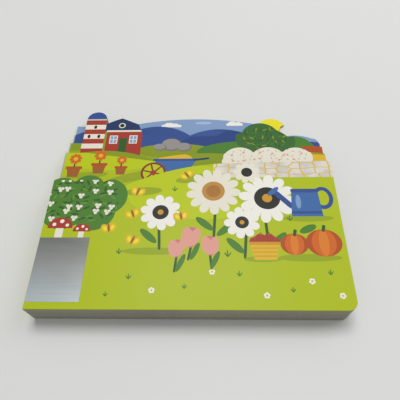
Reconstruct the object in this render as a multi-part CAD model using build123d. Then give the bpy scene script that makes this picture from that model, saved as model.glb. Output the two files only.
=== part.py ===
"""A child's board book that lies closed on its back cover.

The book is bound along its left side, and its boards get taller towards the back.
Each group of boards has its own cut skyline at the head, so the groups rise in five
steps behind the front cover, as a layered landscape.

Millimetres, +Z up, head of the book towards +Y, spine on the -X side. The drawing
below starts at the corner where the spine meets the tail, and the finished pieces
are moved so that the origin is under the middle of the book.
"""
from build123d import *
import os

# Overall size
width = 200.0             # spine to fore-edge
cover_board = 2.0         # thickness of each cover
page_board = 2.0          # thickness of one page
closed_gap = 0.1          # free play between a closed cover and the pages
corner_radius = 6.0       # tail corner at the fore-edge

# Number of pages that share each skyline, from the front of the book to the back
front_pages = 3
field_pages = 2
yard_pages = 2
ridge_pages = 1

# Height of each skyline at the spine, as the step above the one in front
front_height = 94.0
field_step = 31.5
yard_step = 13.0
ridge_step = 11.5
sky_step = 12.0

# Cut shapes in the skylines
shrub_width = 52.0
wall_length = 82.0        # low wall on the front cover, from the fore-edge
wall_rise = 16.0
shoulder_radius = 2.5     # head corners at the fore-edge
die_radius = 0.6          # every other corner of a skyline
least_turn = 10.0         # degrees of turn that make a corner sharp
tower_left = 9.7
tower_width = 16.6
tower_rise = 25.4         # wall of the tower, up to where its dome starts
roof_ridge = 39.4         # distance of the roof's ridge from the spine
roof_end = 53.7
sun_left = 47.0           # distance of the sun's left side from the fore-edge
sun_rise = 5.1

# Edges and binding
spine_wrap = 0.8          # thickness of the card round the spine
rim_radius = 0.3          # pressed rim round the outside of each cover
groove_height = 0.12      # fine line between two pages at their cut edges
groove_depth = 0.4

# Foil label on the front cover
label_width = 33.2
label_height = 43.3
label_foil = 0.1
label_inset = 0.3         # from the spine
label_tail = 4.5          # from the tail

# Heights that follow from the steps
field_height = front_height + field_step
yard_height = field_height + yard_step
ridge_height = yard_height + ridge_step
sky_height = ridge_height + sky_step


def outline(stops):
    """Face of one board: the tail is straight, the head follows the stops.

    A stop is x, y and the rise of its arc above the straight line that leads to it.
    The first stop is on the spine side and the last is on the fore-edge.
    """
    edges = []
    for (x0, y0, _), (x1, y1, rise) in zip(stops, stops[1:]):
        if rise:
            edges.append(SagittaArc((x0, y0), (x1, y1), rise))
        else:
            edges.append(Line((x0, y0), (x1, y1)))
    spine_end = stops[0][:2]
    fore_end = stops[-1][:2]
    corner_top = (width, corner_radius)
    corner_side = (width - corner_radius, 0)
    edges.append(Line(fore_end, corner_top))
    edges.append(RadiusArc(corner_top, corner_side, corner_radius))
    edges.append(Line(corner_side, (0, 0)))
    edges.append(Line((0, 0), spine_end))
    return make_face(Curve() + edges)


def cut_to_shape(face):
    """Round every sharp corner of the head a little, as a cutting die leaves it."""
    edges = face.face().outer_wire().order_edges()
    corners = []
    for before, after in zip(edges, edges[1:] + edges[:1]):
        turn = (before % 1).get_angle(after % 0)
        corner = before @ 1
        if turn > least_turn and corner.Y > corner_radius:
            corners.append(face.vertices().sort_by_distance(corner)[0])
    return fillet(corners, die_radius)


def shoulder(height, radius, rise=0):
    """Last two stops of a skyline: a rounded corner down to the fore-edge."""
    swell = radius * (1 - 0.5 ** 0.5)
    return [(width - radius, height, rise), (width, height - radius, swell)]


def front_skyline():
    """Shrub by the spine, a meadow that swells, and a low wall to the fore-edge."""
    lobe = shrub_width / 3
    wall_top = front_height + wall_rise
    stops = [(0, front_height, 0)]
    stops.append((0.9 * lobe, front_height - 1.5, 3.0))
    stops.append((2.1 * lobe, front_height - 2.0, 6.0))
    stops.append((shrub_width, front_height - 5.0, 4.0))
    stops.append((width - wall_length, wall_top - 2.0, 3.5))
    return stops + shoulder(wall_top, shoulder_radius)


def field_skyline():
    """A level field by the spine, a hill, and three blossoming bushes."""
    stops = [(0, field_height, 0), (14, field_height, 0)]
    stops.append((68, field_height - 7, 4.5))
    stops.append((width - 76, field_height - 2, 2.5))
    for from_fore_edge, rise in ((54, 5.5), (32, 5.0), (12, 4.5)):
        stops.append((width - from_fore_edge, field_height - 1, rise))
    return stops + shoulder(field_height - 2, shoulder_radius)


def yard_skyline():
    """A domed tower, a roof, a low hedge, a tree crown and a hill."""
    tower_right = tower_left + tower_width
    dome_start = yard_height + tower_rise
    eaves = yard_height + 20
    stops = [(0, yard_height, 0), (tower_left, yard_height, 0)]
    stops.append((tower_left, dome_start, 0))
    stops.append((tower_right, dome_start, tower_width / 2))
    stops.append((tower_right, eaves, 0))
    stops.append((roof_ridge, yard_height + 26.5, 0.4))
    stops.append((roof_end, eaves - 0.5, 0))
    stops.append((roof_end + 4, yard_height + 9, 0))
    stops.append((width - 62, yard_height + 9, -3.0))
    stops.append((width - 34, yard_height + 12, 9.0))
    stops.append((width - 25.5, yard_height + 4.8, 0.6))
    stops.append((width - 6, yard_height - 5, 4.0))
    return stops + shoulder(yard_height - 5.5, shoulder_radius / 2)


def ridge_skyline():
    """Rounded hills, from the spine to the fore-edge."""
    stops = [(0, ridge_height, 0), (tower_left, ridge_height + 4.5, 0.5)]
    stops.append((roof_end - 6, ridge_height + 3, 2.0))
    stops.append((width - 104, ridge_height - 1, 8.0))
    stops.append((width - 54, ridge_height - 2, 7.0))
    stops.append((width - 30, ridge_height - 6, 1.0))
    return stops + shoulder(ridge_height - 9, shoulder_radius)


def sky_skyline():
    """One long arc of sky with the sun standing out of it, lower at the fore-edge."""
    stops = [(0, sky_height - 1, 0), (1, sky_height, 0.25), (34, sky_height - 2.5, 0)]
    stops.append((width - sun_left, sky_height, 8.0))
    stops.append((width - sun_left + 19, sky_height + 2.4, sun_rise))
    stops.append((width - sun_left + 21.2, sky_height - 0.2, 0.2))
    stops.append((width - sun_left + 18, sky_height - 2.5, 0))
    stops.append((width - sun_left + 16.5, sky_height - 6.5, 0))
    stops.append((width - sun_left + 19, sky_height - 13.5, 0))
    return stops + shoulder(sky_height - 15.5, 2 * shoulder_radius, 2.2)


def slab(face, bottom, thickness):
    """One board with the given outline."""
    return extrude(Pos(0, 0, bottom) * face, thickness)


def page_stack(outlines, bottom, binding):
    """All pages as one solid, listed from the back, with a fine line between two."""
    stack = Part() + slab(cut_to_shape(outlines[0]) - binding, bottom, page_board)
    for number, face in enumerate(outlines[1:], 1):
        foot = bottom + number * page_board
        core = offset(face, -groove_depth) - binding
        page = cut_to_shape(face) - binding
        stack += slab(core, foot, groove_height)
        stack += slab(page, foot + groove_height, page_board - groove_height)
    return stack


def spine_stack(outlines, bottom, binding):
    """Card round the spine, with the same steps as the pages at its head."""
    stack = Part()
    for number, face in enumerate(outlines):
        stack += slab(face & binding, bottom + number * page_board, page_board)
    return stack


# Each face behind takes in the faces in front of it, so no board is hidden by a
# shorter one behind it.
front_face = outline(front_skyline())
field_face = outline(field_skyline()) + front_face
yard_face = outline(yard_skyline()) + field_face
ridge_face = outline(ridge_skyline()) + yard_face
sky_face = outline(sky_skyline()) + ridge_face

# Heights in the closed book, from the table up
pages = [ridge_face] * ridge_pages + [yard_face] * yard_pages
pages += [field_face] * field_pages + [front_face] * front_pages
pages_bottom = cover_board + closed_gap
pages_top = pages_bottom + page_board * len(pages)
front_bottom = pages_top + closed_gap
front_top = front_bottom + cover_board

# Covers, with the rim of the outer side rounded
front_cover = slab(cut_to_shape(front_face), front_bottom, cover_board)
front_cover = fillet(front_cover.faces().sort_by(Axis.Z)[-1].edges(), rim_radius)
back_cover = slab(cut_to_shape(sky_face), 0, cover_board)
back_cover = fillet(back_cover.faces().sort_by(Axis.Z)[0].edges(), rim_radius)

# Pages and the card round the spine meet at one plane
binding = Pos(spine_wrap / 2, 0) * Rectangle(spine_wrap, 4 * sky_height)
page_block = page_stack(pages, pages_bottom, binding)
spine = spine_stack(pages, pages_bottom, binding)

# Label, flat on the front cover
label_x = label_inset + label_width / 2
label_y = label_tail + label_height / 2
label_z = front_top + label_foil / 2
foil_label = Pos(label_x, label_y, label_z) * Box(label_width, label_height, label_foil)

# Move every piece so that the origin is under the middle of the book
middle = sky_face.bounding_box().center()
pieces = {
    "front_cover": front_cover,
    "back_cover": back_cover,
    "page_block": page_block,
    "spine": spine,
    "foil_label": foil_label,
}
os.makedirs("parts", exist_ok=True)
for name, piece in pieces.items():
    export_step(Pos(-middle.X, -middle.Y, 0) * piece, f"parts/{name}.step")
print(f"book {width:.1f} x {2 * middle.Y:.2f} x {front_top:.2f} mm")
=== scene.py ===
# %% [markdown]
# # A layered board book
#
# A board book is made of thick boards with printed paper glued on both faces. This one
# lies closed. Its boards get taller towards the back, and each group of boards has its
# own cut skyline, so the scenery on the front is really five boards seen at once.
#
# The shapes come from the CAD model and stay as they are. What is left to do is the
# print, the bare edges of the boards, the foil label, the light and the camera.

# %% Load the frame
import math
import bpy
from mathutils import Matrix, Vector


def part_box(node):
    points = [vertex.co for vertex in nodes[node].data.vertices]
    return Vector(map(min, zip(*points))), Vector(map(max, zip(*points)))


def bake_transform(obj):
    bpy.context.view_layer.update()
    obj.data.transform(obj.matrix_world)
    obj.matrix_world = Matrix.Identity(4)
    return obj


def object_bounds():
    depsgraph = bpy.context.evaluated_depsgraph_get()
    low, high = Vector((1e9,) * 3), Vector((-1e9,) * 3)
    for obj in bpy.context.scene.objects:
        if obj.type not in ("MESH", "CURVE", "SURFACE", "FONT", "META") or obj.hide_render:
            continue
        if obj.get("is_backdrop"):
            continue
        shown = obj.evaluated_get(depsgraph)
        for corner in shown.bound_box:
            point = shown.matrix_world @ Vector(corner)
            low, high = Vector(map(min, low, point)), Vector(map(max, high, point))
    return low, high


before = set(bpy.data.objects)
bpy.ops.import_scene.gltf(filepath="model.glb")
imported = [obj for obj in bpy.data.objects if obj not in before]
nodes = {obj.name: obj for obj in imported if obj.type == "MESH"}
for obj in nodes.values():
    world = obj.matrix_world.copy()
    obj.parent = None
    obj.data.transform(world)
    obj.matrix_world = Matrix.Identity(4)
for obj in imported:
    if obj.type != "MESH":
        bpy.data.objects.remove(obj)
cad_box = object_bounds()
print("pieces:", ", ".join(sorted(nodes)))

# %% [markdown]
# ## Where things are
#
# The pattern is drawn like a page layout: millimetres from the corner where the spine
# meets the tail, x towards the fore-edge and y towards the head. The corner and the
# height of every printed face come from the frame, so the print follows the boards.

# %% Places in millimetres
MM = 1000.0
page_count = 8
pages_under_field, pages_under_yard, pages_under_ridge = 5, 3, 1

low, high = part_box("back_cover")
corner = Vector((low.x, low.y, 0)) * MM
width = (high.x - low.x) * MM
height = (high.y - low.y) * MM
board = (high.z - low.z) * MM
block_low, block_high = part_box("page_block")
page = (block_high.z - block_low.z) * MM / page_count
block_foot = block_low.z * MM
block_top = block_high.z * MM
field_z = block_foot + page * pages_under_field
yard_z = block_foot + page * pages_under_yard
ridge_z = block_foot + page * pages_under_ridge
cover_low, cover_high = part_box("front_cover")
cover_top = cover_high.z * MM
print(f"book {width:.0f} x {height:.1f} mm, boards {board:.1f} mm, pages {page:.1f} mm")
print(f"printed faces at {board:.1f}, {ridge_z:.1f}, {yard_z:.1f}, {field_z:.1f}, {cover_top:.1f} mm")

# %% [markdown]
# ## Shader maths as plain expressions
#
# A print of a hundred shapes is easy to get lost in when every step is a node placed by
# hand. A small class wraps one socket, so a mask can be written as `x * x + y < 4`.
# Everything that isn't arithmetic goes through its one method, `node`.

# %% Socket wrapper
class Wire:
    """One output socket, with arithmetic that adds Math nodes."""

    def __init__(self, tree, socket):
        self.tree = tree
        self.socket = socket

    def node(self, kind, settings=None, inputs=None, output=0):
        made = self.tree.nodes.new(kind)
        for name, value in (settings or {}).items():
            if name == "stops":
                set_stops(made.color_ramp, value)
            else:
                setattr(made, name, value)
        for place, value in (inputs or {}).items():
            if isinstance(value, Wire):
                self.tree.links.new(value.socket, made.inputs[place])
            elif value is not None:
                made.inputs[place].default_value = value
        return Wire(self.tree, made.outputs[output])

    def math(self, operation, a, b=None, c=None):
        return self.node("ShaderNodeMath", {"operation": operation}, {0: a, 1: b, 2: c})

    def __add__(self, other):
        return self.math("ADD", self, other)

    __radd__ = __add__

    def __sub__(self, other):
        return self.math("SUBTRACT", self, other)

    def __rsub__(self, other):
        return self.math("SUBTRACT", other, self)

    def __mul__(self, other):
        return self.math("MULTIPLY", self, other)

    __rmul__ = __mul__

    def __truediv__(self, other):
        return self.math("DIVIDE", self, other)

    def __lt__(self, other):
        return self.math("LESS_THAN", self, other)

    def __gt__(self, other):
        return self.math("GREATER_THAN", self, other)


def set_stops(ramp, stops):
    """Give a colour ramp its stops, as (position, colour) pairs."""
    while len(ramp.elements) < len(stops):
        ramp.elements.new(1.0)
    for element, (position, colour) in zip(ramp.elements, stops):
        element.position = position
        element.color = colour


# %% [markdown]
# ## Inks
#
# Colours are easier to choose as they look on a screen, and shaders need them linear,
# so one helper converts. The palette is that of a picture book: lime meadow, leaf
# greens, barn red, slate blues, golden straw, cream and charcoal.

# %% Palette
def ink(code):
    """Linear colour of a six-digit screen colour."""
    channels = (int(code[i:i + 2], 16) / 255 for i in (0, 2, 4))
    linear = [c / 12.92 if c <= 0.04045 else ((c + 0.055) / 1.055) ** 2.4 for c in channels]
    return (*linear, 1.0)


LIME = ink("b2c114")
LIME_DEEP = ink("98aa1a")
LIME_PALE = ink("bccb10")
OLIVE = ink("88991a")
LEAF = ink("4d7f2c")
LEAF_DARK = ink("2f5a26")
TREE = ink("3d6a30")
RED = ink("a83a2a")
RED_DARK = ink("8a2f24")
SLATE = ink("34508e")
SLATE_DARK = ink("22355e")
BLUE = ink("3f6ba6")
SKY = ink("86a0c6")
CREAM = ink("ebe5d3")
WHITE = ink("f3f0e6")
CHARCOAL = ink("22251e")
STONE = ink("cfccc4")
GREY = ink("97938e")
STRAW = ink("e2b72c")
STRAW_DARK = ink("cf9726")
SUN = ink("efe42c")
ORANGE = ink("d2691f")
ORANGE_DARK = ink("b5501c")
PINK = ink("e3a090")
PINK_DARK = ink("cf7a6e")
BROWN = ink("a0602a")
TAN = ink("c08b42")
INSIDE = ink("c9d36a")
print("lime ground", [round(c, 3) for c in LIME[:3]], "charcoal", [round(c, 3) for c in CHARCOAL[:3]])

# %% [markdown]
# ## The printing press
#
# One object paints flat shapes, each over the last, as ink fields in a flat picture.
# A place on the board is the vector (x, y, 1). With the 1 in it, a dot product alone
# moves, turns and scales a shape to the origin, and a shape costs only a few nodes. The
# nodes are made in painting order, which keeps the shader light.

# %% Places and paint
class Press:
    """Layers of ink on one material, in millimetres on the board."""

    def __init__(self, tree, ground):
        self.wire = Wire(tree, None)
        place = self.wire.node("ShaderNodeTexCoord", output="Object")
        self.at = self.vector("MULTIPLY_ADD", place, (MM, MM, 0), (-corner.x, -corner.y, 1))
        self.x = self.dot(1, 0, 0)
        self.y = self.dot(0, 1, 0)
        self.colour = ground

    def vector(self, operation, a, b=None, c=None, output=0):
        """One Vector Math node."""
        inputs = {0: a, 1: b, 2: c}
        return self.wire.node("ShaderNodeVectorMath", {"operation": operation}, inputs, output)

    def dot(self, a, b, c):
        """The number a * x + b * y + c at every place."""
        return self.vector("DOT_PRODUCT", self.at, (a, b, c), output="Value")

    def turned(self, x, y, rx, ry, turn):
        """Distances from x, y along and across a direction, as shares of rx and ry."""
        c, s = math.cos(math.radians(turn)), math.sin(math.radians(turn))
        along = self.dot(c / rx, s / rx, -(x * c + y * s) / rx)
        across = self.dot(-s / ry, c / ry, (x * s - y * c) / ry)
        return along, across

    def moved(self, x, y, rx, ry):
        """The place as seen from x, y, in shares of rx and ry."""
        return self.vector("MULTIPLY_ADD", self.at, (1 / rx, 1 / ry, 0), (-x / rx, -y / ry, 0))

    def length(self, vector):
        return self.vector("LENGTH", vector, output="Value")

    def paint(self, mask, colour):
        """Ink where the mask is 1."""
        inputs = {0: mask, 6: self.colour, 7: colour}
        self.colour = self.wire.node("ShaderNodeMix", {"data_type": "RGBA"}, inputs, 2)


# %% [markdown]
# Flat picture-book shapes come down to a few kinds: round spots, cards with rounded
# corners, tapered pots and roofs, and rounds of petals. A mask says where a shape is,
# and a second method of nearly the same name inks it.

# %% Shapes
petal_curve = 0.4       # under 1, so that petals are broad and their gaps are narrow
flower_depth = 0.42     # how far the gaps between petals reach in
blossom_depth = 0.45
blade_width = 0.09


class Shapes(Press):
    """A press with the shapes of a flat picture."""

    def in_spot(self, x, y, rx, ry=None, turn=0.0):
        """Mask of an ellipse."""
        ry = ry or rx
        if turn == 0 or rx == ry:
            return self.length(self.moved(x, y, rx, ry)) < 1.0
        along, across = self.turned(x, y, rx, ry, turn)
        return along * along + across * across < 1.0

    def in_card(self, x, y, w, h, round_off=0.5, turn=0.0):
        """Mask of a rectangle with rounded corners. A turned one is a superellipse."""
        if turn:
            along, across = self.turned(x, y, w / 2, h / 2, turn)
            return self.wire.math("POWER", along, 6) + self.wire.math("POWER", across, 6) < 1.0
        half = (w / 2 - round_off, h / 2 - round_off, 0)
        outside = self.vector("SUBTRACT", self.vector("ABSOLUTE", self.moved(x, y, 1, 1)), half)
        return self.length(self.vector("MAXIMUM", outside, (0, 0, 0))) < round_off

    def in_taper(self, x, y, top, foot, h):
        """Mask of a pot or a roof: top and foot are its widths."""
        along, across = self.turned(x, y, 1, h / 2, 0)
        side = self.wire.math("ABSOLUTE", along) - across * ((top - foot) / 4)
        return (side < (top + foot) / 4) * (self.wire.math("ABSOLUTE", across) < 1.0)

    def spot(self, x, y, rx, colour, ry=None, turn=0.0):
        self.paint(self.in_spot(x, y, rx, ry, turn), colour)

    def card(self, x, y, w, h, colour, round_off=0.5, turn=0.0):
        self.paint(self.in_card(x, y, w, h, round_off, turn), colour)

    def taper(self, x, y, top, foot, h, colour):
        self.paint(self.in_taper(x, y, top, foot, h), colour)

    def petals_inside(self, angle, away, count, depth):
        """Mask of a round of petals: the rim swings with the angle."""
        swing = self.wire.math("ABSOLUTE", self.wire.math("COSINE", angle * (count / 2)))
        return away < self.wire.math("POWER", swing, petal_curve) * depth + (1 - depth)

    def flower(self, x, y, size, petals, colour, heart, share=0.36):
        """Round petals about a heart."""
        along, across = self.turned(x, y, size, size, 25 * math.sin(x))
        angle = self.wire.math("ARCTAN2", across, along)
        away = self.length(self.moved(x, y, size, size))
        self.paint(self.petals_inside(angle, away, petals, flower_depth), colour)
        self.spot(x, y, size * share, heart)

    def tuft(self, x, y, size, colour):
        """Three blades of grass."""
        for lean, reach in ((-34, 0.8), (3, 1.0), (36, 0.75)):
            dx = -math.sin(math.radians(lean)) * size * reach / 2
            dy = math.cos(math.radians(lean)) * size * reach / 2
            self.spot(x + dx, y + dy, size * blade_width, colour, size * reach / 2, lean)


# %% [markdown]
# Leaves and berries are too many to place by hand. A Voronoi texture spreads one random
# place to each cell, and a leaf or a flower is drawn about the nearest of them. A mask
# keeps them inside their bush.

# %% Scattered shapes
class Print(Shapes):
    """Shapes, and small ones scattered at random inside a mask."""

    def scatter(self, spacing, seed):
        """Where the nearest of many random places is: x, y from it and a number."""
        at = self.vector("ADD", self.at, (seed, seed * 1.7, 0))
        cells = self.wire.node(
            "ShaderNodeTexVoronoi",
            {"voronoi_dimensions": "2D"},
            {"Vector": at, "Scale": 1 / spacing, "Randomness": 0.7},
            "Position",
        )
        number = self.vector("DOT_PRODUCT", cells, (3.7, 6.1, 0), output="Value")
        away = self.vector("SUBTRACT", at, cells)
        return self.vector("MULTIPLY", away, (1, 1, 0)), number

    def blossoms(self, inside, spacing, size, colour, heart, seed):
        """Small four-petalled flowers at random places inside a mask."""
        spot, number = self.scatter(spacing, seed)
        along = self.vector("DOT_PRODUCT", spot, (1, 0, 0), output="Value")
        across = self.vector("DOT_PRODUCT", spot, (0, 1, 0), output="Value")
        angle = self.wire.math("ARCTAN2", across, along) + number
        away = self.length(spot) / size
        self.paint(self.petals_inside(angle, away, 4, blossom_depth) * inside, colour)
        self.paint((away < 0.24) * inside, heart)

    def berries(self, inside, spacing, size, colour, seed):
        """Berries in threes at random places inside a mask."""
        spot = self.scatter(spacing, seed)[0]
        for x, y in ((-1.0, -0.5), (1.0, -0.6), (0.1, 1.1)):
            away = self.length(self.vector("ADD", spot, (x * size, y * size, 0)))
            self.paint((away < size) * inside, colour)

    def leaves(self, inside, spacing, size, colour, seed):
        """Small leaf strokes at random places and turns inside a mask."""
        spot, number = self.scatter(spacing, seed)
        along = self.vector("DOT_PRODUCT", spot, (1, 0, 0), output="Value")
        across = self.vector("DOT_PRODUCT", spot, (0, 1, 0), output="Value")
        c, s = self.wire.math("COSINE", number), self.wire.math("SINE", number)
        long_way = (along * c + across * s) / size
        short_way = (across * c - along * s) / (size * 0.3)
        self.paint((long_way * long_way + short_way * short_way < 1.0) * inside, colour)


print("the press has", len([name for name in dir(Print) if not name.startswith("_")]), "tools")

# %% [markdown]
# ## Front cover
#
# The front board shows a garden with the nearest things on it. It is painted from the
# back to the front: ground and light patches, wall, shrub, then flowers, fruit and
# tools. The strip along the tail stays plain meadow with a few tufts. Each motif is one
# function, so that a motif can be moved or left out without touching the others.

# %% Meadow, wall and shrub
def meadow(picture):
    """Ground with lighter and darker patches."""
    for x, y, rx, ry, turn, colour in (
        (80, 92, 46, 13, 8, LIME_PALE), (96, 74, 40, 12, -6, LIME_PALE),
        (66, 84, 13, 3.4, 4, LIME_DEEP), (104, 95, 16, 3.6, 8, LIME_DEEP),
        (178, 62, 17, 2.6, 0, LIME_DEEP), (176, 33.5, 20, 2.6, 0, LIME_DEEP),
        (146, 32.5, 12, 2.0, 0, LIME_DEEP), (76, 38, 20, 2.6, 0, LIME_DEEP),
    ):
        picture.spot(x, y, rx, colour, ry, turn)


def stone_wall(picture):
    """Dry wall of pale stones along the head, with straw in its joints."""
    wall = (picture.y > 95.5) * (picture.x > 115.0)
    picture.paint(wall, STRAW)
    stretched = picture.vector("MULTIPLY", picture.at, (0.11, 0.19, 0))
    joints = picture.wire.node(
        "ShaderNodeTexVoronoi",
        {"voronoi_dimensions": "2D", "feature": "DISTANCE_TO_EDGE"},
        {"Vector": stretched, "Scale": 1.0, "Randomness": 0.55},
    )
    tints = picture.wire.node("ShaderNodeTexNoise", inputs={"Vector": picture.at, "Scale": 0.12})
    stops = [(0.42, STONE), (0.58, ink("e0dcd2"))]
    stones = picture.wire.node("ShaderNodeValToRGB", {"stops": stops}, {0: tints})
    picture.paint((joints > 0.055) * wall, stones)


def shrub(picture):
    """Leafy shrub by the spine, with pale berries."""
    for x, y, r in ((6, 84, 17), (22, 84, 16.5), (40, 80, 15), (12, 70, 16), (33, 68, 15)):
        picture.spot(x, y, r, LEAF)
    inside = picture.in_card(21, 77, 56, 34, 13)
    picture.leaves(inside, 5.6, 2.6, LEAF_DARK, 3)
    picture.leaves(inside, 7.4, 2.4, ink("629436"), 15)
    picture.berries(inside, 9.4, 1.15, CREAM, 8)


# %% Flowers and grass
def big_daisies(picture):
    """The large white flowers in the middle, some with charcoal hearts."""
    for x, y, h, turn in ((79, 52, 26, 4), (116, 64, 34, -3), (150, 54, 40, 3), (136, 46, 26, -5)):
        picture.card(x, y, 1.9, h, LEAF_DARK, 0.9, turn)
    for x, y, lean in ((72, 49, 48), (109, 58, 50), (123, 54, -50), (157, 46, -46), (129, 42, 46)):
        picture.spot(x, y, 2.5, LEAF, 7.5, lean)
    picture.flower(79, 67, 14, 10, WHITE, CHARCOAL, 0.4)
    picture.flower(115, 84, 19, 13, CREAM, TAN, 0.42)
    picture.flower(152, 78, 19.5, 12, WHITE, CHARCOAL, 0.46)
    picture.flower(134, 59, 12, 9, WHITE, CHARCOAL, 0.38)
    picture.flower(139, 100, 9.5, 9, CREAM, CHARCOAL, 0.42)
    for x, y, r in ((79, 67, 2.0), (152, 78, 3.4), (134, 59, 1.6)):
        picture.spot(x, y, r, STRAW_DARK)
    picture.spot(115, 84, 5.0, ink("a8742f"))


def tulips(picture):
    """Pink tulips where the meadow is open."""
    for x, y, size, lean in ((100, 48, 7.6, 10), (113, 42, 7.0, -6), (91, 40, 6.4, 6)):
        picture.card(x, y - 9, 1.6, 15, LEAF_DARK, 0.6, -lean)
        picture.spot(x + 3, y - 10, 1.8, LEAF, 6.5, -24)
        picture.spot(x, y, size * 0.74, PINK_DARK, size, -lean)
        picture.spot(x - size * 0.3, y, size * 0.52, PINK, size * 0.96, 12 - lean)
        picture.spot(x + size * 0.34, y, size * 0.44, PINK, size * 0.9, -12 - lean)


def butterflies(picture):
    """Small golden butterflies over the meadow."""
    for x, y, turn in (
        (60, 66, 20), (62, 84, -15), (96, 98, 35), (45, 55, 10), (62, 46, -20), (93, 64, 12),
    ):
        lean = math.radians(turn)
        for way in (-1, 1):
            wing = (x + way * 2.5 * math.cos(lean), y + way * 2.5 * math.sin(lean))
            picture.spot(*wing, 2.5, STRAW, 3.5, turn - way * 25)
            picture.spot(*wing, 1.2, SUN, 1.9, turn - way * 25)
        picture.spot(x, y, 0.8, BROWN, 3.2, turn)


def tufts(picture):
    """Grass, thinner towards the tail."""
    for x, y, size in (
        (52, 72, 5), (88, 84, 4.5), (124, 34, 5), (166, 60, 4.5), (54, 36, 4.5),
        (62, 19, 4), (97, 13, 3.6), (131, 21, 4), (163, 11, 3.6), (187, 22, 4), (49, 8, 3.4),
    ):
        picture.tuft(x, y, size, LEAF)
    for x, y in ((77, 12), (114, 24), (147, 9), (175, 18), (192, 9)):
        picture.flower(x, y, 2.0, 5, WHITE, STRAW)


# %% Fruit, tools and mushrooms
def pumpkins(picture):
    """Pumpkins in the lower corner by the fore-edge."""
    for x, y, r in ((167, 43, 9), (186, 44, 11.5)):
        picture.spot(x, y, r, ORANGE_DARK, r * 0.84)
        picture.spot(x, y, r * 0.68, ORANGE, r * 0.84)
        picture.spot(x, y, r * 0.28, ink("df7f2c"), r * 0.82)
        picture.card(x + 1, y + r * 0.9, 2.2, 5, LEAF_DARK, 0.8, -14)
    picture.spot(177, 54, 6, LEAF, 2.6, 24)


def watering_can(picture):
    """Blue can with its spout to the left and a loop for a handle."""
    picture.card(163, 77, 4.0, 18, SLATE, 1.5, 42)
    picture.spot(156.5, 83.5, 5.0, BLUE, 1.9, 42)
    picture.spot(190, 78, 7.0, SLATE, 9)
    picture.spot(190, 78, 4.2, LIME, 6)
    picture.taper(178, 74, 18, 21, 21, BLUE)
    picture.card(178, 84, 19, 3, SLATE, 1.0)
    picture.card(178, 66.5, 20.5, 2, SLATE, 0.6)
    picture.spot(173, 75, 1.8, ink("7f9fc9"), 5.5)


def basket(picture):
    """Straw basket of red apples."""
    for x, y in ((141.5, 44.5), (154.5, 44.5), (145.5, 47), (151, 47.2)):
        picture.spot(x, y, 3.5, RED)
        picture.spot(x + 0.3, y + 3.2, 0.5, BROWN, 1.3)
    picture.taper(148, 38, 19, 14, 12, STRAW)
    picture.card(148, 43.5, 20.5, 2.2, STRAW_DARK, 0.9)
    for y, wide in ((40.2, 17.0), (37.4, 15.8), (34.6, 14.6)):
        picture.card(148, y, wide, 0.7, STRAW_DARK, 0.3)


def mushrooms(picture):
    """Red caps above the label."""
    for x, y, r in ((12, 56, 8.5), (27, 53.5, 6)):
        picture.card(x, y - 3.5, r * 0.62, r * 1.1, CREAM, 0.8)
        picture.paint(picture.in_spot(x, y - 1, r, r * 0.95) * (picture.y > y - 1.2), RED)
        for dx, dy, dot in ((-0.5, 0.32, 0.15), (0.08, 0.6, 0.17), (0.55, 0.25, 0.14)):
            picture.spot(x + dx * r, y - 1 + dy * r, dot * r, WHITE)


front_motifs = (
    meadow, stone_wall, shrub, tufts, big_daisies, tulips, butterflies, mushrooms, watering_can,
    pumpkins, basket,
)
print("front cover:", ", ".join(draw.__name__ for draw in front_motifs))

# %% [markdown]
# ## The boards behind
#
# The pages that stand out over the front cover carry the middle distance: a field with
# a barrow and blossom, a yard with a tower and a cottage, blue hills, and at the back
# the sky with a cloud and the sun. Each is a picture of its own, at its own height.

# %% Field
def field(picture):
    """Meadow by the spine, straw to the fore-edge, and cream blossom."""
    picture.spot(30, 118, 40, LIME_PALE, 9, -4)
    picture.spot(58, 103, 24, LIME_DEEP, 4, 14)
    picture.spot(20, 104, 16, LIME_DEEP, 3, 4)
    picture.paint(picture.dot(0.16, 1, -128) > 0.0, OLIVE)
    picture.spot(176, 96, 74, STRAW, 27)
    picture.spot(150, 114, 30, STRAW_DARK, 1.0, 2)
    picture.spot(194, 114, 12, STRAW_DARK, 1.2, -4)
    for x in (135, 157, 178):
        picture.spot(x, 119.5, 12.4, CREAM, 11)
        picture.spot(x - 9, 116, 4.5, CREAM, 4)
    bushes = picture.in_card(157, 121, 62, 15, 6)
    picture.leaves(bushes, 4.6, 1.1, ink("b9b596"), 5)
    picture.blossoms(bushes, 7.0, 1.0, PINK, STRAW, 11)


def barrow(picture):
    """Blue barrow with a red spoked wheel, heaped with golden straw."""
    picture.spot(86, 119, 13, STRAW, 5)
    picture.taper(86, 112.5, 32, 22, 11, BLUE)
    picture.card(86, 118, 34, 2, SLATE, 0.8)
    picture.card(106, 118.4, 12, 1.8, SLATE_DARK, 0.8, 8)
    picture.card(96, 104, 1.8, 8, SLATE_DARK, 0.8, 8)
    picture.spot(70, 106, 9.5, RED_DARK)
    picture.spot(70, 106, 7.8, LIME_PALE)
    for turn in (15, 75, 135):
        picture.card(70, 106, 1.3, 16, RED_DARK, turn=turn)
    picture.spot(70, 106, 2.3, RED)


def flower_pots(picture):
    """Clay pots of marigolds near the spine."""
    for x, y, size in ((9, 107, 1.0), (28, 110, 1.0), (45, 108, 0.8)):
        picture.taper(x, y, 11 * size, 7.5 * size, 9 * size, BROWN)
        picture.card(x, y + 4 * size, 12.5 * size, 2.6 * size, ORANGE_DARK, 0.8)
        picture.card(x, y + 8 * size, 1.2, 7 * size, LEAF_DARK, 0.4)
        picture.flower(x, y + 12.5 * size, 5 * size, 8, ORANGE, STRAW)


field_motifs = (field, flower_pots, barrow)
print("field pages:", ", ".join(draw.__name__ for draw in field_motifs))

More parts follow.
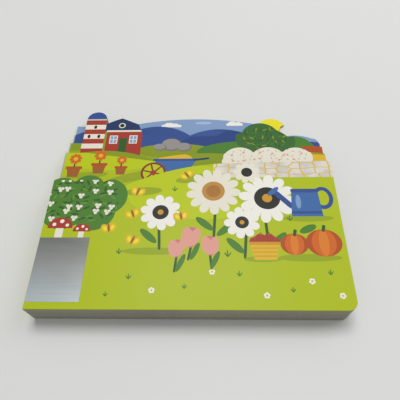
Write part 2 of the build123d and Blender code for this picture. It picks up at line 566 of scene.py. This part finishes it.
# %% Yard
def yard(picture):
    """Olive field under blue hills, a leafy tree, a green hill and a ploughed strip."""
    far = (picture.y > 133.0) * (picture.x > 57.0)
    picture.paint(far, SLATE)
    picture.paint(picture.in_spot(120, 133, 34, 14.5) * far, ink("2c4482"))
    picture.paint(picture.y < 131.0, LIME_DEEP)
    picture.spot(84, 130, 30, OLIVE, 7)
    picture.spot(128, 131, 26, LEAF, 7.5, 6)
    picture.spot(180, 132, 22, LEAF, 13)
    picture.paint((picture.y < 133.5) * (picture.x > 184.0), ORANGE_DARK)
    for x, y, r in ((146, 142, 13), (157, 145, 15), (168, 139, 12)):
        picture.spot(x, y, r, TREE)
    crown = picture.in_card(156, 143, 34, 22, 9)
    picture.leaves(crown, 5.0, 2.2, LEAF_DARK, 4)
    picture.leaves(crown, 6.4, 1.8, LEAF, 19)
    picture.leaves(crown, 7.2, 1.9, OLIVE, 27)


def tower_and_cottage(picture):
    """Striped lookout tower with a slate dome, and a cottage with a slate roof."""
    picture.card(18, 146, 17.4, 44, CREAM, 0.1)
    for y in (130.5, 140.5, 150.5, 160.5):
        picture.card(18, y, 17.4, 5.0, RED, 0.1)
    picture.paint((picture.y > 163.6) * (picture.x < 27.0), SLATE)
    picture.paint((picture.y > 163.0) * (picture.y < 164.4) * (picture.x < 27.0), STONE)
    for x, y in ((14.0, 145.5), (22.0, 145.5), (18.0, 155.5)):
        picture.spot(x, y, 1.2, CHARCOAL, 1.9)
    picture.card(43, 138, 29, 40, RED, 0.1)
    roof = (picture.y > 151.0) * (picture.x > 26.6) * (picture.x < 58.0)
    picture.paint(roof, SLATE_DARK)
    picture.card(43, 151.0, 30, 1.8, CREAM, 0.3)
    picture.spot(40, 157, 2.8, CREAM)
    picture.spot(40, 157, 1.9, CHARCOAL)
    for x in (34.5, 50.5):
        picture.card(x, 142, 6.6, 8.6, CREAM, 0.5)
        picture.card(x, 142, 5.0, 7.0, SKY, 0.3)
        picture.card(x, 142, 0.7, 8, CREAM, 0.1)
        picture.card(x, 142, 6, 0.7, CREAM, 0.1)
    picture.card(42.5, 134, 6.4, 19, LEAF_DARK, 0.8)


def boulders(picture):
    """Grey stones in the grass."""
    for x, y, rx, ry in ((82, 136, 8, 6.5), (92, 133.5, 6, 4.5), (73, 133.5, 5, 3.5)):
        picture.spot(x, y, rx, ink("7c7873"), ry)
        picture.spot(x - 0.6, y + 0.8, rx * 0.9, GREY, ry * 0.84)


yard_motifs = (yard, boulders, tower_and_cottage)
print("yard pages:", ", ".join(draw.__name__ for draw in yard_motifs))

# %% Hills and sky
def hills(picture):
    """Blue hills, one behind the other."""
    picture.spot(100, 133, 52, ink("3a5795"), 22)
    picture.spot(74, 130, 32, SLATE, 25)
    picture.spot(134, 128, 24, ink("2c4482"), 27)


def sky(picture):
    """Two long clouds over the hills, and the sun standing out of the head."""
    for x, y, long in ((80, 161.5, 17), (133, 162.5, 14)):
        picture.card(x, y, long, 2.8, WHITE, 1.4)
        picture.spot(x - 2, y + 1.4, long * 0.24, WHITE, 2.2)
        picture.spot(x + 3, y + 1.0, long * 0.17, WHITE, 1.8)
    picture.spot(107, 164.5, 7, ink("a9bcdc"), 1.5)
    picture.spot(163, 157.5, 15.5, SUN, 12.5)
    picture.paint((picture.y < 149.8) * (picture.x > 150.0), SKY)
    picture.spot(188, 143, 6, ink("a9bcdc"), 1.8)


print("ridge page:", hills.__name__, "- back cover:", sky.__name__)

# %% [markdown]
# ## Board, ink and laminate
#
# Every board is greyboard with printed paper on its faces and a thin clear laminate on
# top. From the side the cut greyboard shows, with short fibres along the sheet, and a
# paler line of paper along parts of each joint between boards. The print lies in the top
# face, so the shader picks it by height. The laminate gives a soft, even sheen with a
# very fine bump.

# %% Shared surface helpers
face_depth = 0.06       # a printed face takes in this much of its board
rim_radius = 0.3        # pressed rim round the outside of a cover
wrap = 0.2              # the paper covers the spine side of a cover
glue_line = 0.3         # paper that shows each side of a joint between two pages
fibre_scale = (260, 260, 2600)
sheen = 0.2             # low, because the laminate is a satin one


def new_material(name):
    """An empty node material with its Principled shader."""
    material = bpy.data.materials.new(name)
    material.use_nodes = True
    tree = material.node_tree
    return material, tree, tree.nodes["Principled BSDF"]


def mix(wire, mask, a, b):
    """Colour a where the mask is 0, b where it is 1."""
    return wire.node("ShaderNodeMix", {"data_type": "RGBA"}, {0: mask, 6: a, 7: b}, 2)


def height_of(wire, place):
    """Height over the table in millimetres."""
    return wire.node("ShaderNodeSeparateXYZ", inputs={0: place}, output=2) * MM


def greyboard(wire, place):
    """Cut edge of the boards: grey, with fibres along the sheet and a tone for each board."""
    stretched = wire.node("ShaderNodeMapping", inputs={0: place, 3: fibre_scale})
    fibres = wire.node("ShaderNodeTexNoise", inputs={"Vector": stretched, "Scale": 1.0, "Detail": 5})
    cloudy = wire.node("ShaderNodeTexNoise", inputs={"Vector": place, "Scale": 45.0, "Detail": 2})
    level = (height_of(wire, place) - block_foot) / page
    sheet = wire.math("FLOOR", level)
    own_tone = wire.node("ShaderNodeTexWhiteNoise", {"noise_dimensions": "1D"}, {"W": sheet})
    drift = wire.node("ShaderNodeTexNoise", inputs={"Vector": place, "Scale": 9.0, "Detail": 1})
    tone = fibres * 0.45 + cloudy * 0.2 + own_tone * 0.14 + drift * 0.25 - 0.02
    stops = [(0.25, ink("747064")), (0.5, ink("8d8979")), (0.78, ink("a39e8d"))]
    board_colour = wire.node("ShaderNodeValToRGB", {"stops": stops}, {0: tone})
    from_joint = wire.math("ABSOLUTE", wire.math("FRACT", level + 0.5) - 0.5) * page
    paper = (from_joint < glue_line) * (drift > 0.42)
    return mix(wire, paper * 0.55, board_colour, ink("c2c0b8"))


def finish_board(shader, wire, place, colour, gloss):
    """Laminated faces and bare edges: gloss is 1 on the print and 0 on cut board."""
    grain = wire.node("ShaderNodeTexNoise", inputs={"Vector": place, "Scale": 900.0, "Detail": 3})
    waves = wire.node("ShaderNodeTexNoise", inputs={"Vector": place, "Scale": 24.0, "Detail": 2})
    rough = 0.8 - gloss * 0.44 + waves * 0.06
    bump = wire.node(
        "ShaderNodeBump",
        inputs={"Strength": 0.12, "Distance": 0.0002, "Height": grain * 0.5 + waves * 2.0},
    )
    for socket, value in (("Base Color", colour), ("Roughness", rough), ("Normal", bump)):
        wire.tree.links.new(value.socket, shader.inputs[socket])
    shader.inputs["Specular IOR Level"].default_value = sheen


print(f"faces {face_depth} mm deep, rims {rim_radius} mm, paper round the side for {wrap} mm")

# %% Front cover material
def front_cover_material():
    material, tree, shader = new_material("printed_front_board")
    picture = Print(tree, LIME)
    for draw in front_motifs:
        draw(picture)
    wire = picture.wire
    place = wire.node("ShaderNodeTexCoord", output="Object")
    z = height_of(wire, place)
    on_face = z > cover_top - rim_radius - 0.02
    inside = z < cover_top - board + face_depth / 2
    wrapped = picture.x < wrap
    edge = mix(wire, wrapped, greyboard(wire, place), LIME)
    colour = mix(wire, on_face, edge, picture.colour)
    colour = mix(wire, inside, colour, INSIDE)
    finish_board(shader, wire, place, colour, wire.math("MAXIMUM", on_face, wrapped))
    return material, len(tree.nodes)


cover_paper, count = front_cover_material()
print("front cover print:", count, "nodes")

# %% [markdown]
# The pages are one solid with faces at four heights, and each height has its own
# picture. Three prints are painted one after the other, and the height over the table
# picks one of them. Everything between the faces is cut board.

# %% Page block material
def page_block_material():
    material, tree, shader = new_material("printed_pages")
    field_picture = Print(tree, LIME)
    for draw in field_motifs:
        draw(field_picture)
    yard_picture = Print(tree, OLIVE)
    for draw in yard_motifs:
        draw(yard_picture)
    hill_picture = Print(tree, SLATE)
    hills(hill_picture)
    wire = field_picture.wire
    place = wire.node("ShaderNodeTexCoord", output="Object")
    z = height_of(wire, place)
    colour = greyboard(wire, place)
    for top, print_colour in (
        (ridge_z, hill_picture.colour), (yard_z, yard_picture.colour),
        (field_z, field_picture.colour), (block_top, INSIDE),
    ):
        on_face = (z > top - face_depth) * (z < top + face_depth)
        colour = mix(wire, on_face, colour, print_colour)
    from_face = wire.math("FRACT", (z - block_foot) / page + 0.5)
    gloss = wire.math("COMPARE", from_face, 0.5, 0.04)
    finish_board(shader, wire, place, colour, gloss)
    return material, len(tree.nodes)


page_paper, count = page_block_material()
print("page print:", count, "nodes")

# %% [markdown]
# The back cover shows only its sky, and its paper is plain lime underneath. The card
# round the spine wears the same lime paper on the outside. Its ends and steps are cut
# board, and its top lies under the first page's paper.

# %% Back cover and spine materials
def back_cover_material():
    material, tree, shader = new_material("printed_back_board")
    picture = Print(tree, SKY)
    sky(picture)
    wire = picture.wire
    place = wire.node("ShaderNodeTexCoord", output="Object")
    z = height_of(wire, place)
    on_top = z > board - face_depth
    under = z < rim_radius
    colour = mix(wire, on_top, greyboard(wire, place), picture.colour)
    plain = wire.math("MAXIMUM", under, picture.x < wrap)
    colour = mix(wire, plain, colour, LIME)
    finish_board(shader, wire, place, colour, wire.math("MAXIMUM", on_top, plain))
    return material


paper_edge = 0.05


def spine_material():
    """The wrap is the cover's own paper, plain lime, a little uneven in tone."""
    material, tree, shader = new_material("printed_spine_card")
    wire = Wire(tree, None)
    place = wire.node("ShaderNodeTexCoord", output="Object")
    rub = wire.node("ShaderNodeTexNoise", inputs={"Vector": place, "Scale": 160.0, "Detail": 4})
    x = wire.node("ShaderNodeSeparateXYZ", inputs={0: place}, output=0) * MM
    outer = x < corner.x + paper_edge
    colour = mix(wire, rub * 0.3, LIME, LIME_DEEP)
    colour = mix(wire, outer, greyboard(wire, place), colour)
    on_top = height_of(wire, place) > block_top - face_depth
    colour = mix(wire, on_top, colour, INSIDE)
    finish_board(shader, wire, place, colour, outer)
    return material


back_paper = back_cover_material()
spine_paper = spine_material()
print("back cover and spine:", back_paper.name, "and", spine_paper.name)

# %% [markdown]
# ## Foil label
#
# The sticker is thin silver foil. It is left blank. Foil isn't a mirror: it is brushed
# by rolling, so its roughness has fine streaks. Its colour carries a painted reflection:
# lighter towards the tail, darker towards the head and the fore-edge, with random clouds.

# %% Foil material
rolling = (30, 900, 30)     # stretches the noise into streaks across the label
cloud_share = 0.12
painted_reflection_side_share = 0.22
foil_metal = 0.9


def foil_material():
    material, tree, shader = new_material("silver_foil")
    wire = Wire(tree, None)
    place = wire.node("ShaderNodeTexCoord", output="Object")
    streaks = wire.node("ShaderNodeMapping", inputs={0: place, 3: rolling})
    rolled = wire.node("ShaderNodeTexNoise", inputs={"Vector": streaks, "Scale": 1.0, "Detail": 3})
    cloudy = wire.node("ShaderNodeTexNoise", inputs={"Vector": place, "Scale": 60.0, "Detail": 2})
    x = wire.node("ShaderNodeSeparateXYZ", inputs={0: place}, output=0)
    y = Wire(tree, x.socket.node.outputs[1])
    foil_low, foil_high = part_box("foil_label")
    # Painted reflection: the ramp runs from light at the tail to dark at the head, and darker towards
    # the fore-edge; the cloudy noise adds a random tone.
    across = (x - foil_low.x) / (foil_high.x - foil_low.x)
    along = (y - foil_low.y) / (foil_high.y - foil_low.y) + cloudy * cloud_share - 0.06
    along = along + across * painted_reflection_side_share - 0.06
    stops = [(0.0, ink("a3abad")), (0.45, ink("898c8b")), (1.0, ink("686a65"))]
    colour = wire.node("ShaderNodeValToRGB", {"stops": stops}, {0: along})
    rough = rolled * 0.12 + 0.26
    relief = {"Strength": 0.05, "Distance": 0.0001, "Height": cloudy}
    bump = wire.node("ShaderNodeBump", inputs=relief)
    for socket, value in (("Base Color", colour), ("Roughness", rough), ("Normal", bump)):
        tree.links.new(value.socket, shader.inputs[socket])
    shader.inputs["Metallic"].default_value = foil_metal
    return material


foil = foil_material()
print("label:", foil.name, "with a metal share of", foil_metal)

# %% [markdown]
# ## Dress the pieces
#
# The frame brings each piece in with a plain material of its own. Its list of materials
# is emptied and gets the finish made above, and the mesh isn't touched.

# %% Put the materials on the pieces
for name, material in (
    ("front_cover", cover_paper), ("page_block", page_paper), ("back_cover", back_paper),
    ("spine", spine_paper), ("foil_label", foil),
):
    nodes[name].data.materials.clear()
    nodes[name].data.materials.append(material)
    print(name, "gets", material.name)

# %% [markdown]
# ## Paper folds at the spine
#
# The cover paper runs round the spine without a break, and folds where a cover opens.
# A strip of it bridges each of the two joints. It starts as a box of the paper's
# thickness and is cut across by bisect, closely at the fold, so that it has edges to
# bend at.

# %% Make the two folds
paper = 0.00007
fold_reach = 0.0009         # glued on each side of the joint
fold_half = 0.0001          # bends on each side of the joint
fold_inset = 0.0005         # free of the corners at both ends
cuts = (-1.0, -0.5, 0.0, 0.5, 1.0)
weld = 0.000001             # under the distance between two cuts
front_side, back_side = 0.0925, 0.149


def paper_fold(name, joint_height, length):
    """Strip on the outside of the spine, from the block to one cover."""
    bpy.ops.object.select_all(action="DESELECT")
    spine_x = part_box("spine")[0].x
    middle_y = low.y + length / 2
    bpy.ops.mesh.primitive_cube_add(size=1.0, location=(spine_x - paper / 2, middle_y, joint_height))
    fold = bpy.context.active_object
    fold.name = name
    fold.scale = (paper, length - 2 * fold_inset, 2 * fold_reach)
    bpy.ops.object.transform_apply(location=True, rotation=False, scale=True)
    bpy.ops.object.mode_set(mode="EDIT")
    for cut in cuts:
        bpy.ops.mesh.select_all(action="SELECT")
        place = (0, 0, joint_height + cut * fold_half)
        bpy.ops.mesh.bisect(plane_co=place, plane_no=(0, 0, 1), threshold=weld)
    bpy.ops.object.mode_set(mode="OBJECT")
    fold.data.materials.append(spine_paper)
    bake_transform(fold)
    print(name, "has", len(fold.data.vertices), "points")


front_joint = (block_high.z + cover_low.z) / 2
back_joint = (block_low.z + high.z) / 2
paper_fold("front_paper_fold", front_joint, front_side)
paper_fold("back_paper_fold", back_joint, back_side)

# %% [markdown]
# ## Table
#
# The book lies on a plain pale surface. The floor is one big plane, much larger than
# the view, so that its edges never show. Its colour is nearly even, and the soft shadow
# of the book falls on it.

# %% Floor
table_size = 6.0


def make_floor():
    bpy.ops.object.select_all(action="DESELECT")
    bpy.ops.mesh.primitive_plane_add(size=table_size, location=(0, 0, 0))
    floor = bpy.context.active_object
    floor.name = "table_top"
    material, tree, shader = new_material("pale_table")
    wire = Wire(tree, None)
    place = wire.node("ShaderNodeTexCoord", output="Object")
    cloudy = wire.node("ShaderNodeTexNoise", inputs={"Vector": place, "Scale": 2.0, "Detail": 2})
    stops = [(0.3, ink("e0e0dc")), (0.7, ink("e6e6e2"))]
    colour = wire.node("ShaderNodeValToRGB", {"stops": stops}, {0: cloudy})
    tree.links.new(colour.socket, shader.inputs["Base Color"])
    shader.inputs["Roughness"].default_value = 0.6
    floor.data.materials.append(material)
    floor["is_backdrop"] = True
    print(floor.name, "is", table_size, "m wide")


make_floor()

# %% [markdown]
# ## Light
#
# A soft lamp hangs almost over the book, a little behind it. Its faint reflection lies
# low on the cover, the tail edge is in shade, and a narrow soft shadow lies in front. A
# weak one at the right gives the soft shadow on the left. The world gives the rest, and
# is seen paler than it shines, so the lamps alone don't have to make a pale background.

# %% Lamps and world
over_book = (-0.05, 0.45, 1.5)
at_right = (0.95, 0.5, 1.1)
world_shines, world_seen = 0.4, 0.74
world_tint = (0.96, 0.98, 1.0, 1.0)


def area_light(name, place, size, power):
    """Soft square lamp that points at the book."""
    lamp = bpy.data.lights.new(name, "AREA")
    lamp.size = size
    lamp.energy = power
    lamp_object = bpy.data.objects.new(name, lamp)
    bpy.context.scene.collection.objects.link(lamp_object)
    lamp_object.location = place
    lamp_object.rotation_euler = Vector(place).to_track_quat("Z", "Y").to_euler()
    print(f"{name}: {power} W, {size} m wide, {Vector(place).length:.2f} m from the book")


def make_world(shines, seen):
    """World that lights at one strength and is seen at another."""
    world = bpy.data.worlds.new("studio")
    world.use_nodes = True
    bpy.context.scene.world = world
    tree = world.node_tree
    wire = Wire(tree, None)
    ray = wire.node("ShaderNodeLightPath", output="Is Camera Ray")
    glossy = Wire(tree, ray.socket.node.outputs["Is Glossy Ray"])
    through = Wire(tree, ray.socket.node.outputs["Is Transmission Ray"])
    looks = wire.math("MAXIMUM", wire.math("MAXIMUM", ray, glossy), through)
    strength = looks * (seen - shines) + shines
    background = tree.nodes["Background"]
    background.inputs["Color"].default_value = world_tint
    tree.links.new(strength.socket, background.inputs["Strength"])
    print(f"the world shines at {shines} and is seen at {seen}")


area_light("lamp_over_book", over_book, 0.6, 10.0)
area_light("lamp_at_right", at_right, 0.9, 4.6)
make_world(world_shines, world_seen)

# %% [markdown]
# ## Camera
#
# The reader looks down on the book from the tail, a little to the right of its middle,
# about 300 mm away, with a normal wide lens. The direction is built from three angles:
# how far the camera looks down, how far it is turned, and how far it leans to one side.

# %% Camera
camera_place = Vector((14.91, -156.83, 256.73)) / MM
look_down, look_turn, look_lean = (math.radians(angle) for angle in (58.03, -3.56, -3.24))
film_width, lens = 36.0, 36.3


def make_camera():
    camera = bpy.data.cameras.new("camera")
    camera.sensor_width = film_width
    camera.lens = lens
    camera_object = bpy.data.objects.new("camera", camera)
    bpy.context.scene.collection.objects.link(camera_object)
    flat = math.cos(look_down)
    sideways, ahead = math.sin(look_turn) * flat, math.cos(look_turn) * flat
    forward = Vector((sideways, ahead, -math.sin(look_down)))
    level = Vector((math.cos(look_turn), -math.sin(look_turn), 0))
    upright = level.cross(forward)
    right = math.cos(look_lean) * level + math.sin(look_lean) * upright
    up = math.cos(look_lean) * upright - math.sin(look_lean) * level
    turned = Matrix((right, up, -forward)).transposed()
    camera_object.matrix_world = Matrix.Translation(camera_place) @ turned.to_4x4()
    camera.clip_start = 0.01
    bpy.context.scene.camera = camera_object
    print(f"the camera is {camera_place.length * MM:.0f} mm away, lens {lens} mm")


make_camera()
bpy.context.scene.view_settings.view_transform = "Standard"

# %% [markdown]
# ## Sizes and finish
#
# The box of the CAD model was kept at the start. The box of what is shown now is
# measured beside it, and the two differ only by the paper folds. The last line prints
# how far the folds stand proud of the CAD box at the spine.

# %% Write the sizes and finish
visual_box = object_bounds()
proud = (cad_box[0][0] - visual_box[0][0]) * MM
print(f"the folds stand {proud:.2f} mm proud of the CAD box at the spine")
